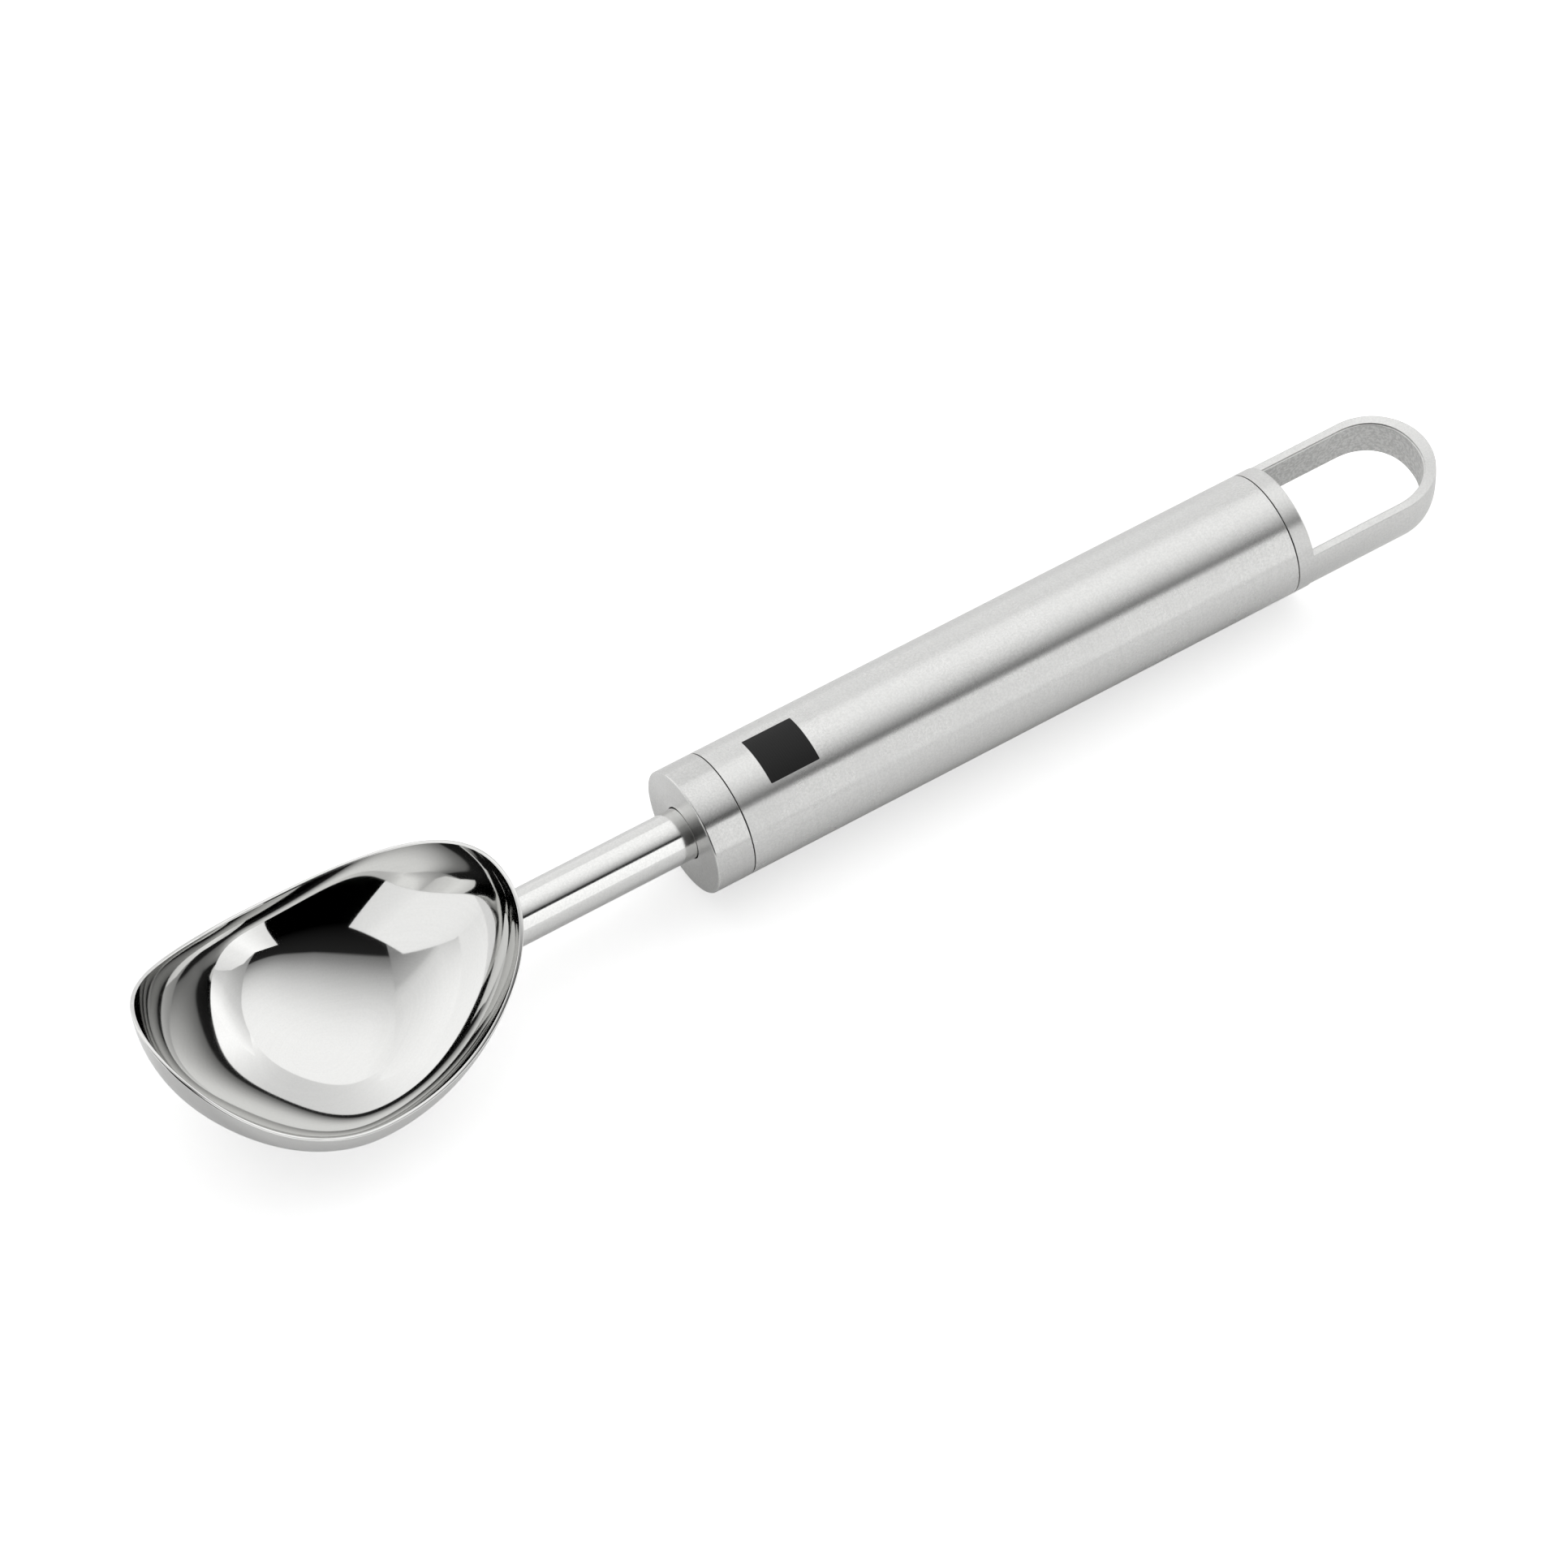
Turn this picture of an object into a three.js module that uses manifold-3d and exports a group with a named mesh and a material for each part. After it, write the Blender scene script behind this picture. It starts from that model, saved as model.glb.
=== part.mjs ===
// Ice cream scoop: polished bowl and neck, satin round handle, flat hanging loop. Millimetres, +Z up.
// The pieces are drawn on the handle's axis: x = 0 at the collar's front face, +X towards the loop.
import * as THREE from 'three';
import { mergeVertices } from 'three/addons/utils/BufferGeometryUtils.js';
import Module from 'manifold-3d';

const wasm = await Module();
wasm.setup();

// Handle tube, with the fine joint line at each of its ends
const handleRadius = 10;
const tubeLength = 97;
const tubeWall = 1;
const jointGap = 0.3;
const edgeChamfer = 0.25;

// Front collar and its spigot inside the tube
const collarLength = 6.2;
const collarSpigotLength = 8;
const sealLip = 0.4;
const socketShoulder = 0.8;

// Rear cap, its spigot and the metal left behind its threaded hole
const capLength = 2.75;
const capSpigotLength = 9;
const capHoleFloor = 2.5;

// Hanging loop: a flat U of the handle's own width, with a half-ellipse end outside and inside
const loopLength = 27.1;
const loopThickness = 7;
const loopEndLength = 10;
const loopEdgeChamfer = 0.5;
const loopRoot = 1;
const strapThickness = 2.1;
const loopEndThickness = 2.25;
const slotEndLength = 8.65;

// Neck rod, its threaded tang and the weld to the bowl
const neckRadius = 4.1;
const tangRadius = 2.5;
const weldGap = 0.3;

// Fasteners and seals inside the handle
const nutAcrossFlats = 8;
const clampNutLength = 4;
const lockNutLength = 4;
const couplingNutLength = 15;
const nutSpacing = 3;
const washerMargin = 2.5;
const washerThickness = 1;
const sealSection = 1.6;
const sealSetback = 2.4;

// Clearances: sliding fits between round pieces, and end play between faces that meet
const fitClearance = 0.15;
const endPlay = 0.3;

// Bowl: distance from the collar to its widest section, plan, rim heights and depth below the axis.
// The outside is lowest in front of the widest section, by its shift. The hollow is lowest behind it.
const bowlSetback = 62;
const bowlHalfWidth = 21.5;
const bowlFrontLength = 28.3;
const bowlBackLength = 31.5;
const rimLow = 1.3;
const rimFrontRise = 16.1;
const rimBackRise = 12.6;
const bowlDepth = 11.2;
const floorShift = 1.8;
const hollowShift = 0.46;
const floorThickness = 2.45;
const rimWidth = 0.6;

// Bowl shape: plan and rim exponents
const frontPlanPower = 2;
const backPlanPower = 2.15;
const frontRisePower = 2.2;
const backRisePower = 2;

// Bowl walls: radii of the floor along and across. Then, at equal steps round the plan from the back to
// the front, how far the wall turns up from its floor, in degrees, and how far its upper part is let out.
const outsideRadiusAlong = 28;
const outsideRadiusAcross = 38.4;
const outsideTurns = [88.5, 79.4, 86.5, 84, 87.5];
const outsideShoulder = [0.17, 0.42, 0.41, -0.18, -0.19];
const hollowRadiusAlong = 27.1;
const hollowRadiusAcross = 40.6;
const hollowTurns = [87.6, 70.1, 83.3, 84.8, 89.5];
const hollowShoulder = [0.11, 0.07, 0.18, -0.03, 0.2];

// Facets
const roundSegments = 64;
const smallSegments = 32;
const sealSegments = 8;
const bowlColumns = 64;
const bowlRows = 14;
const loopArcSteps = 25;
const loopSideLevels = 6;

// Places along the axis
const tubeStart = collarLength + jointGap;
const tubeEnd = tubeStart + tubeLength;
const tubeBore = handleRadius - tubeWall;
const capStart = tubeEnd + jointGap;
const capFace = capStart + capLength;
const spigotRadius = tubeBore - fitClearance;
const collarEnd = tubeStart + collarSpigotLength;
const capSpigotStart = tubeEnd - capSpigotLength;
const tangClearRadius = tangRadius + fitClearance;
const washerStart = collarEnd + endPlay;
const washerRadius = tubeBore - washerMargin;
const clampNutStart = washerStart + washerThickness + endPlay;
const couplingStart = clampNutStart + clampNutLength + nutSpacing;
const tangEnd = couplingStart + (couplingNutLength - endPlay) / 2;
const tieRodStart = tangEnd + endPlay;
const capHoleEnd = capFace - capHoleFloor;
const tieRodEnd = capHoleEnd - endPlay;
const lockNutStart = capSpigotStart - endPlay - lockNutLength;
const neckSealX = sealLip + endPlay;
const neckSealPocket = neckRadius + sealSection + 2 * fitClearance;
const socketDepth = neckSealX + sealSection + endPlay + socketShoulder;
const frontSealX = tubeStart + sealSetback;
const rearSealX = tubeEnd - sealSetback - sealSection;
const slotHalfWidth = handleRadius - strapThickness;
const loopArcStart = capFace + loopLength - loopEndLength;
const slotArcStart = capFace + loopLength - loopEndThickness - slotEndLength;
const loopTop = loopThickness / 2;
const bowlX = -bowlSetback;
const outsideWall = {
  inset: 0,
  floorX: bowlX - floorShift,
  floorZ: -bowlDepth,
  radiusAlong: outsideRadiusAlong,
  radiusAcross: outsideRadiusAcross,
  turns: outsideTurns,
  shoulder: outsideShoulder,
};
const hollowWall = {
  inset: rimWidth,
  floorX: bowlX + hollowShift,
  floorZ: floorThickness - bowlDepth,
  radiusAlong: hollowRadiusAlong,
  radiusAcross: hollowRadiusAcross,
  turns: hollowTurns,
  shoulder: hollowShoulder,
};

const polishedSteel = { color: 0xe6e6e6, roughness: 0.06, metalness: 1 };
const satinSteel = { color: 0xd6d6d4, roughness: 0.34, metalness: 1 };
const plainSteel = { color: 0xb4b4b6, roughness: 0.45, metalness: 1 };
const blackRubber = { color: 0x181818, roughness: 0.8, metalness: 0 };

// Joins the shared corners of a geometry and drops the triangles that have no area
function welded(geometry) {
  geometry.deleteAttribute('normal');
  geometry.deleteAttribute('uv');
  const merged = mergeVertices(geometry, 1e-5);
  const corners = merged.index.array;
  const kept = [];
  for (let i = 0; i < corners.length; i += 3) {
    const [a, b, c] = corners.slice(i, i + 3);
    if (a !== b && b !== c && c !== a) {
      kept.push(a, b, c);
    }
  }
  merged.setIndex(kept);
  return merged;
}

function toSolid(geometry) {
  const closed = welded(geometry);
  const vertProperties = new Float32Array(closed.attributes.position.array);
  const triVerts = new Uint32Array(closed.index.array);
  return new wasm.Manifold(new wasm.Mesh({ numProp: 3, vertProperties, triVerts }));
}

function toGeometry(solid) {
  const mesh = solid.getMesh();
  const geometry = new THREE.BufferGeometry();
  geometry.setAttribute('position', new THREE.BufferAttribute(mesh.vertProperties, 3));
  geometry.setIndex(new THREE.BufferAttribute(mesh.triVerts, 1));
  return geometry;
}

function piece(name, geometry, finish) {
  geometry.computeVertexNormals();
  const mesh = new THREE.Mesh(geometry, new THREE.MeshStandardMaterial(finish));
  mesh.name = name;
  return mesh;
}

// Turns a profile of [x, radius] points about the X axis: outside from low x to high x
function turned(profile, segments) {
  const points = profile.map(([x, radius]) => new THREE.Vector2(radius, x));
  return welded(new THREE.LatheGeometry(points, segments).rotateZ(-Math.PI / 2));
}

// Closed mesh of a grid of points: rows of equal rings, with both end rings filled as fans
function skinned(rings) {
  const around = rings[0].length;
  const points = rings.flat();
  const faces = [];
  for (let i = 0; i + 1 < rings.length; i += 1) {
    for (let j = 0; j < around; j += 1) {
      const a = i * around + j;
      const b = i * around + (j + 1) % around;
      faces.push(a, b, b + around, a, b + around, a + around);
    }
  }
  const last = (rings.length - 1) * around;
  for (let j = 1; j + 1 < around; j += 1) {
    faces.push(0, j + 1, j);
    faces.push(last, last + j, last + j + 1);
  }
  const geometry = new THREE.BufferGeometry();
  geometry.setAttribute('position', new THREE.Float32BufferAttribute(points.flat(), 3));
  geometry.setIndex(faces);
  return welded(geometry);
}

function signedPower(value, power) {
  return Math.sign(value) * Math.abs(value) ** power;
}

// Smooth even wave round the plan that passes through values at equal steps from the back to the front
function roundPlan(values, turn) {
  const steps = values.length - 1;
  const share = (k) => (k % steps === 0 ? 0.5 : 1);
  let sum = 0;
  for (let j = 0; j <= steps; j += 1) {
    let part = 0;
    for (let n = 0; n <= steps; n += 1) {
      part += share(n) * values[n] * Math.cos(Math.PI * j * n / steps);
    }
    sum += share(j) * part * Math.cos(j * turn);
  }
  return 2 * sum / steps;
}

// Point of a wall of the bowl. turn runs round the plan from the back, rise from the floor's centre (0)
// to the rim (1). The wall's inset draws the rim in. The sag makes the floor as round as its radii.
function bowlPoint(turn, rise, wall) {
  const c = Math.cos(turn);
  const s = Math.sin(turn);
  const back = c > 0;
  const length = (back ? bowlBackLength : bowlFrontLength) - wall.inset;
  const planPower = 2 / (back ? backPlanPower : frontPlanPower);
  const along = signedPower(c, planPower);
  const across = signedPower(s, planPower);
  const rimRise = back
    ? rimBackRise * Math.abs(along) ** backRisePower
    : rimFrontRise * Math.abs(along) ** frontRisePower;
  const rimX = bowlX + length * along - wall.floorX;
  const rimY = (bowlHalfWidth - wall.inset) * across;
  const height = rimLow + rimRise - wall.floorZ;
  const wallTurn = THREE.MathUtils.degToRad(roundPlan(wall.turns, turn));
  const out = Math.sin(wallTurn * rise) / Math.sin(wallTurn);
  const arc = (1 - Math.cos(wallTurn * rise)) / (1 - Math.cos(wallTurn));
  const floorRise = rimX ** 2 / wall.radiusAlong + rimY ** 2 / wall.radiusAcross;
  const sag = 1 - floorRise / (height * (1 + Math.cos(wallTurn)));
  const up = arc * (1 - (1 - arc) * (sag + roundPlan(wall.shoulder, turn) * arc));
  return [wall.floorX + rimX * out, rimY * out, wall.floorZ + height * up];
}

function bowlRing(rise, wall) {
  const ring = [];
  for (let i = 0; i < bowlColumns; i += 1) {
    ring.push(bowlPoint(2 * Math.PI * i / bowlColumns, rise, wall));
  }
  return ring;
}

// Rings of one wall from the floor's centre to the rim
function bowlRings(wall) {
  const rings = [];
  for (let i = 0; i <= bowlRows; i += 1) {
    rings.push(bowlRing(i / bowlRows, wall));
  }
  return rings;
}

function scoopBowl() {
  const outside = bowlRings(outsideWall);
  const inside = bowlRings(hollowWall).reverse();
  return piece('scoop_bowl', skinned([...outside, ...inside]), polishedSteel);
}

// The bowl's outside as a full body, larger by the weld's gap, to cut the neck against
function bowlBlank() {
  const wall = { ...outsideWall, inset: -weldGap, floorZ: outsideWall.floorZ - weldGap };
  return toSolid(skinned(bowlRings(wall)));
}

function neckRod() {
  const shoulder = socketDepth - endPlay;
  const rod = turned([
    [bowlX, 0],
    [bowlX, neckRadius],
    [shoulder, neckRadius],
    [shoulder, tangRadius],
    [tangEnd, tangRadius],
    [tangEnd, 0],
  ], smallSegments);
  return piece('neck_rod', toGeometry(toSolid(rod).subtract(bowlBlank())), polishedSteel);
}

// Groove walls on a spigot for the seal that starts at sealX
function sealGroove(sealX) {
  const low = sealX - endPlay;
  const high = sealX + sealSection + endPlay;
  const floor = tubeBore - sealSection - 2 * fitClearance;
  return [[low, spigotRadius], [low, floor], [high, floor], [high, spigotRadius]];
}

// Round ring whose outside keeps the fit clearance to the bore that holds it
function sealRing(name, sealX, boreRadius) {
  const half = sealSection / 2;
  const middle = boreRadius - fitClearance - half;
  const profile = [];
  for (let i = 0; i <= sealSegments; i += 1) {
    const angle = 2 * Math.PI * i / sealSegments;
    profile.push([sealX + half - half * Math.cos(angle), middle + half * Math.sin(angle)]);
  }
  return piece(name, turned(profile, smallSegments), blackRubber);
}

function frontCollar() {
  const socketRadius = neckRadius + fitClearance;
  const pocketEnd = socketDepth - socketShoulder;
  const body = turned([
    [socketDepth, tangClearRadius],
    [socketDepth, socketRadius],
    [pocketEnd, socketRadius],
    [pocketEnd, neckSealPocket],
    [sealLip, neckSealPocket],
    [sealLip, socketRadius],
    [0, socketRadius],
    [0, handleRadius - edgeChamfer],
    [edgeChamfer, handleRadius],
    [collarLength, handleRadius],
    [collarLength, spigotRadius],
    ...sealGroove(frontSealX),
    [collarEnd, spigotRadius],
    [collarEnd, tangClearRadius],
    [socketDepth, tangClearRadius],
  ], roundSegments);
  return piece('front_collar', body, satinSteel);
}

function handleTube() {
  const body = turned([
    [tubeStart, tubeBore],
    [tubeStart, handleRadius],
    [tubeEnd, handleRadius],
    [tubeEnd, tubeBore],
    [tubeStart, tubeBore],
  ], roundSegments);
  return piece('handle_tube', body, satinSteel);
}

// Half outline of the U, from one root round the end to the other root: [x, y] of unit half width
function loopPath(arcStart, arcLength) {
  const path = [[capFace - loopRoot, 1]];
  for (let i = 0; i <= loopArcSteps; i += 1) {
    const angle = Math.PI / 2 - Math.PI * i / loopArcSteps;
    path.push([arcStart + arcLength * Math.cos(angle), Math.sin(angle)]);
  }
  path.push([capFace - loopRoot, -1]);
  return path;
}

// Half width and end setback of the loop's outside at height z: the handle's cylinder, edges chamfered
function loopSide(z, setback) {
  return { z, half: Math.sqrt(handleRadius ** 2 - z ** 2) - setback, setback };
}

function loopSides() {
  const straight = loopTop - loopEdgeChamfer;
  const sides = [loopSide(-loopTop, loopEdgeChamfer)];
  for (let i = 0; i <= loopSideLevels; i += 1) {
    sides.push(loopSide(straight * (2 * i / loopSideLevels - 1), 0));
  }
  sides.push(loopSide(loopTop, loopEdgeChamfer));
  return sides;
}

// The U as sections across its strap, carried round from root to root
function hangingLoop() {
  const outer = loopPath(loopArcStart, loopEndLength);
  const inner = loopPath(slotArcStart, slotEndLength);
  const sides = loopSides();
  const sections = outer.map(([x, y], i) => {
    const endShare = Math.max(0, (x - loopArcStart) / loopEndLength);
    const slotX = inner[i][0];
    const slotY = inner[i][1] * slotHalfWidth;
    return [
      ...sides.map(({ z, half, setback }) => [x - setback * endShare, y * half, z]),
      [slotX, slotY, loopTop],
      [slotX, slotY, -loopTop],
    ];
  });
  return skinned(sections);
}

function endCap() {
  const body = turned([
    [capHoleEnd, 0],
    [capHoleEnd, tangClearRadius],
    [capSpigotStart, tangClearRadius],
    [capSpigotStart, spigotRadius],
    ...sealGroove(rearSealX),
    [capStart, spigotRadius],
    [capStart, handleRadius],
    [capFace - edgeChamfer, handleRadius],
    [capFace, handleRadius - edgeChamfer],
    [capFace, 0],
  ], roundSegments);
  return piece('end_cap', toGeometry(toSolid(body).add(toSolid(hangingLoop()))), satinSteel);
}

// Six-sided nut with a plain round hole, lying along the axis
function hexNut(name, start, length) {
  const corner = nutAcrossFlats / 2 / Math.cos(Math.PI / 6);
  const corners = [];
  for (let i = 0; i < 6; i += 1) {
    const angle = i * Math.PI / 3;
    corners.push(new THREE.Vector2(corner * Math.cos(angle), corner * Math.sin(angle)));
  }
  const outline = new THREE.Shape(corners);
  const hole = new THREE.Path();
  hole.absarc(0, 0, tangClearRadius, 0, 2 * Math.PI, true);
  outline.holes.push(hole);
  const options = { depth: length, bevelEnabled: false, curveSegments: smallSegments / 2 };
  const body = new THREE.ExtrudeGeometry(outline, options).rotateY(Math.PI / 2).translate(start, 0, 0);
  return piece(name, welded(body), plainSteel);
}

function clampWasher() {
  const washerEnd = washerStart + washerThickness;
  const body = turned([
    [washerStart, tangClearRadius],
    [washerStart, washerRadius],
    [washerEnd, washerRadius],
    [washerEnd, tangClearRadius],
    [washerStart, tangClearRadius],
  ], smallSegments);
  return piece('clamp_washer', body, plainSteel);
}

function tieRod() {
  const body = turned([
    [tieRodStart, 0],
    [tieRodStart, tangRadius],
    [tieRodEnd, tangRadius],
    [tieRodEnd, 0],
  ], smallSegments);
  return piece('tie_rod', body, plainSteel);
}

const tool = new THREE.Group();
tool.add(
  scoopBowl(),
  neckRod(),
  sealRing('neck_o_ring', neckSealX, neckSealPocket),
  frontCollar(),
  sealRing('front_o_ring', frontSealX, tubeBore),
  clampWasher(),
  hexNut('clamp_nut', clampNutStart, clampNutLength),
  handleTube(),
  hexNut('coupling_nut', couplingStart, couplingNutLength),
  tieRod(),
  hexNut('lock_nut', lockNutStart, lockNutLength),
  sealRing('rear_o_ring', rearSealX, tubeBore),
  endCap(),
);

// At rest the scoop lies on the bowl's floor and on the cap's lower edge
tool.rotation.y = Math.atan2(bowlDepth - handleRadius, capFace - outsideWall.floorX);

const scoop = new THREE.Group();
scoop.add(tool);
const box = new THREE.Box3().setFromObject(scoop, true);
tool.position.set(-(box.min.x + box.max.x) / 2, 0, -box.min.z);

export default scoop;
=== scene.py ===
import math

import bpy
import numpy as np
from mathutils import Matrix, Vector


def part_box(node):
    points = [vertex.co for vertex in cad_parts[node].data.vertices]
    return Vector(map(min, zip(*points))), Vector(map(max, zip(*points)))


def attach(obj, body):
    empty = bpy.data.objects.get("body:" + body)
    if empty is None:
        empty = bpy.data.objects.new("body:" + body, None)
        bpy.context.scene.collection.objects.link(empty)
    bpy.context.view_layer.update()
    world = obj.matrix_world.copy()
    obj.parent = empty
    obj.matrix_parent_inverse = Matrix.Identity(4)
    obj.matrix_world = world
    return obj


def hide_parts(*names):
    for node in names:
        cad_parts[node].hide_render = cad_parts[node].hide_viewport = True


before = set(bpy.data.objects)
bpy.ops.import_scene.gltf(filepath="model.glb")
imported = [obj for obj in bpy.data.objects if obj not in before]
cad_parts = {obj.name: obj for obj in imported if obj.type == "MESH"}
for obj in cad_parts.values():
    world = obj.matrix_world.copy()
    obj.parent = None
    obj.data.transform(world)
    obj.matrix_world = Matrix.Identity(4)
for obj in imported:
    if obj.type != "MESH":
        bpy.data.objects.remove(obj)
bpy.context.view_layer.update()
print("frame loaded")

mm = 0.001

# Sizes that several pieces share, in millimetres along the handle's axis from the collar's front face
handle = dict(radius=10.0, tubeLength=97.0, wall=1.0, gap=0.3, lip=0.06, collarLength=6.2, capLength=2.75,
              neckRadius=4.1, tangRadius=2.5, fit=0.15, play=0.3, seal=1.6, sealSetback=2.4,
              fineEdge=0.05, boreEdge=0.1, spigotEdge=0.2)
tubeStart = handle["collarLength"] + handle["gap"]
tubeEnd = tubeStart + handle["tubeLength"]
tubeBore = handle["radius"] - handle["wall"]
capStart = tubeEnd + handle["gap"]
capFace = capStart + handle["capLength"]
spigotRadius = tubeBore - handle["fit"]
tangClear = handle["tangRadius"] + handle["fit"]


# Middle of a frame node's box
def nodeMiddle(node):
    low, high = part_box(node)
    return (low + high) / 2


# The axis runs through the middles of two plain cylinders of the frame, the tube and the rod inside it
tubeCentre = nodeMiddle("handle_tube")
rodCentre = nodeMiddle("tie_rod")
tilt = math.atan2(tubeCentre.z - rodCentre.z, rodCentre.x - tubeCentre.x)
tubeMiddle = (tubeStart + tubeEnd) / 2 * mm
toolPlace = Matrix.Translation(tubeCentre) @ Matrix.Rotation(tilt, 4, "Y")
toolPlace = toolPlace @ Matrix.Translation((-tubeMiddle, 0, 0))
toolTurn = np.array(toolPlace.to_3x3())
toolShift = np.array(toolPlace.translation)


# A point of the handle's frame, in millimetres, carried into the part's frame in metres
def toWorld(points):
    return points * mm @ toolTurn.T + toolShift


# Signed power: the size of a value raised to a power, with the value's own sign
def signedPower(value, power):
    return np.sign(value) * np.abs(value) ** power


# Smooth step with level ends: 6x^5 - 15x^4 + 10x^3 between 0 and 1
def smootherStep(value):
    x = np.clip(value, 0, 1)
    return x ** 3 * (x * (6 * x - 15) + 10)


# Faces between rings of points: quads from ring to ring, columns closed round, each end shut by a fan to
# its pole or the last ring joined to the first. UV: length along the first column, and share of a turn.
def shell(rings, poles=None, closed=False):
    rows, columns = rings.shape[:2]
    points = rings.reshape(-1, 3)
    path = np.concatenate([rings[:, 0], rings[:1, 0]])
    length = np.concatenate([[0], np.cumsum(np.linalg.norm(np.diff(path, axis=0), axis=1))])
    i, j = np.meshgrid(np.arange(rows if closed else rows - 1), np.arange(columns), indexing="ij")
    i, j = i.ravel(), j.ravel()
    right = (j + 1) % columns
    down = (i + 1) % rows
    quads = np.stack([i * columns + j, i * columns + right, down * columns + right, down * columns + j], 1)
    u = np.stack([length[i], length[i], length[i + 1], length[i + 1]], 1)
    v = np.stack([j, j + 1, j + 1, j], 1) / columns
    faces = [quads]
    uvs = [np.stack([u, v], -1)]
    if poles is not None:
        points = np.concatenate([points, poles])
        k = np.arange(columns)
        after = (k + 1) % columns
        last = (rows - 1) * columns
        firstPole = rows * columns
        for pole, corners, turns, along in (
                (firstPole, (after, k), (k + 1, k), length[0]),
                (firstPole + 1, (last + k, last + after), (k, k + 1), length[rows - 1])):
            faces.append(np.stack([np.full(columns, pole), *corners], 1))
            v = np.stack([k + 0.5, *turns], 1) / columns
            uvs.append(np.stack([np.full((columns, 3), along), v], -1))
    corner = points[quads]
    volume = np.einsum("ij,ij->", corner[:, 0], np.cross(corner[:, 1], corner[:, 2]))
    volume += np.einsum("ij,ij->", corner[:, 0], np.cross(corner[:, 2], corner[:, 3]))
    if volume < 0:
        faces = [f[:, ::-1] for f in faces]
        uvs = [w[:, ::-1] for w in uvs]
    return points, faces, uvs


# One smooth mesh object from shells in the handle's frame, riding on the part's one body
def makePiece(name, shells, node, material, masks=None):
    points = []
    faces = []
    uvs = []
    count = 0
    for shellPoints, shellFaces, shellUvs in shells:
        points.append(shellPoints)
        for f, w in zip(shellFaces, shellUvs):
            faces.extend((f + count).tolist())
            uvs.append(w.reshape(-1, 2))
        count += len(shellPoints)
    mesh = bpy.data.meshes.new(name)
    mesh.from_pydata(toWorld(np.concatenate(points)), [], faces)
    mesh.uv_layers.new(name="run").data.foreach_set("uv", np.concatenate(uvs).astype(np.float32).ravel())
    if masks is not None:
        mask = mesh.attributes.new("wallMask", "FLOAT", "POINT")
        mask.data.foreach_set("value", np.concatenate(masks).astype(np.float32))
    mesh.shade_smooth()
    mesh.materials.append(material)
    piece = bpy.data.objects.new(name, mesh)
    bpy.context.scene.collection.objects.link(piece)
    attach(piece, "root")
    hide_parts(node)
    print("piece", name, len(faces), "faces")
    return piece


# Profile of [x, radius, rounding] corners with each corner rounded: an arc tangent to both sides, and a close
# support point before and after it so that flats stay flat when shaded. An open profile keeps its two ends.
def roundedProfile(corners, closed=False, steps=6, support=0.04):
    c = np.array(corners, float)
    out = []
    for k in range(len(c)):
        here = c[k, :2]
        if not closed and k in (0, len(c) - 1):
            out.append(here[None])
            continue
        before = c[k - 1, :2] - here
        after = c[(k + 1) % len(c), :2] - here
        before /= np.linalg.norm(before)
        after /= np.linalg.norm(after)
        half = math.acos(np.clip(before @ after, -1, 1)) / 2
        radius = c[k, 2]
        tangent = radius / math.tan(half)
        middle = here + (before + after) / np.linalg.norm(before + after) * radius / math.sin(half)
        first = here + before * tangent - middle
        second = here + after * tangent - middle
        sweep = math.pi - 2 * half
        a = np.linspace(0, sweep, steps)[:, None]
        arc = middle + (np.sin(sweep - a) * first + np.sin(a) * second) / math.sin(sweep)
        reach = tangent + support
        out.append(np.concatenate([[here + before * reach], arc, [here + after * reach]]))
    return np.concatenate(out)


# Rings about the handle's axis: (x, r sin a, -r cos a) for each place x, radius r and angle a
def turnedRings(x, radius, a):
    x, radius, a = np.broadcast_arrays(x, radius, a)
    return np.stack([x, radius * np.sin(a), -radius * np.cos(a)], -1)


def fullTurn(columns):
    return np.arange(columns) * 2 * math.pi / columns


# Surface of revolution: a profile of [x, radius] points turned about the handle's axis
def turned(profile, columns, closed=False):
    rings = turnedRings(profile[:, :1], profile[:, 1:], fullTurn(columns))
    if closed:
        return shell(rings, closed=True)
    keep = profile[:, 1] > 1e-6  # points on the axis become the poles
    poles = np.array([[profile[0, 0], 0, 0], [profile[-1, 0], 0, 0]])
    return shell(rings[keep], poles=poles)


# A node's sockets given as values or as links
def setInputs(tree, made, values):
    for key, value in values.items():
        if isinstance(value, bpy.types.NodeSocket):
            tree.links.new(value, made.inputs[key])
        else:
            made.inputs[key].default_value = value


def addNode(tree, kind, values=None, **settings):
    made = tree.nodes.new(kind)
    for key, value in settings.items():
        setattr(made, key, value)
    setInputs(tree, made, values or {})
    return made


def mathNode(tree, operation, first, second=0.0):
    return addNode(tree, "ShaderNodeMath", {0: first, 1: second}, operation=operation).outputs[0]


def mixNode(tree, share, first, second):
    return addNode(tree, "ShaderNodeMix", {0: share, 2: first, 3: second}).outputs[0]


def rangeNode(tree, value, low, high, toLow=0.0, toHigh=1.0, kind="SMOOTHSTEP"):
    return addNode(tree, "ShaderNodeMapRange", {0: value, 1: low, 2: high, 3: toLow, 4: toHigh},
                   interpolation_type=kind).outputs[0]


# A mask between 0 and 1 turned into a value that runs from below its middle to above it
def spreadNode(tree, mask, middle, spread, kind="LINEAR"):
    return rangeNode(tree, mask, 0.0, 1.0, middle - spread, middle + spread, kind)


def noiseNode(tree, place, scale, detail, rough):
    return addNode(tree, "ShaderNodeTexNoise", {"Vector": place, "Scale": scale, "Detail": detail,
                                                "Roughness": rough}).outputs["Fac"]


def splitNode(tree, place):
    return addNode(tree, "ShaderNodeSeparateXYZ", {0: place}).outputs


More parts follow.
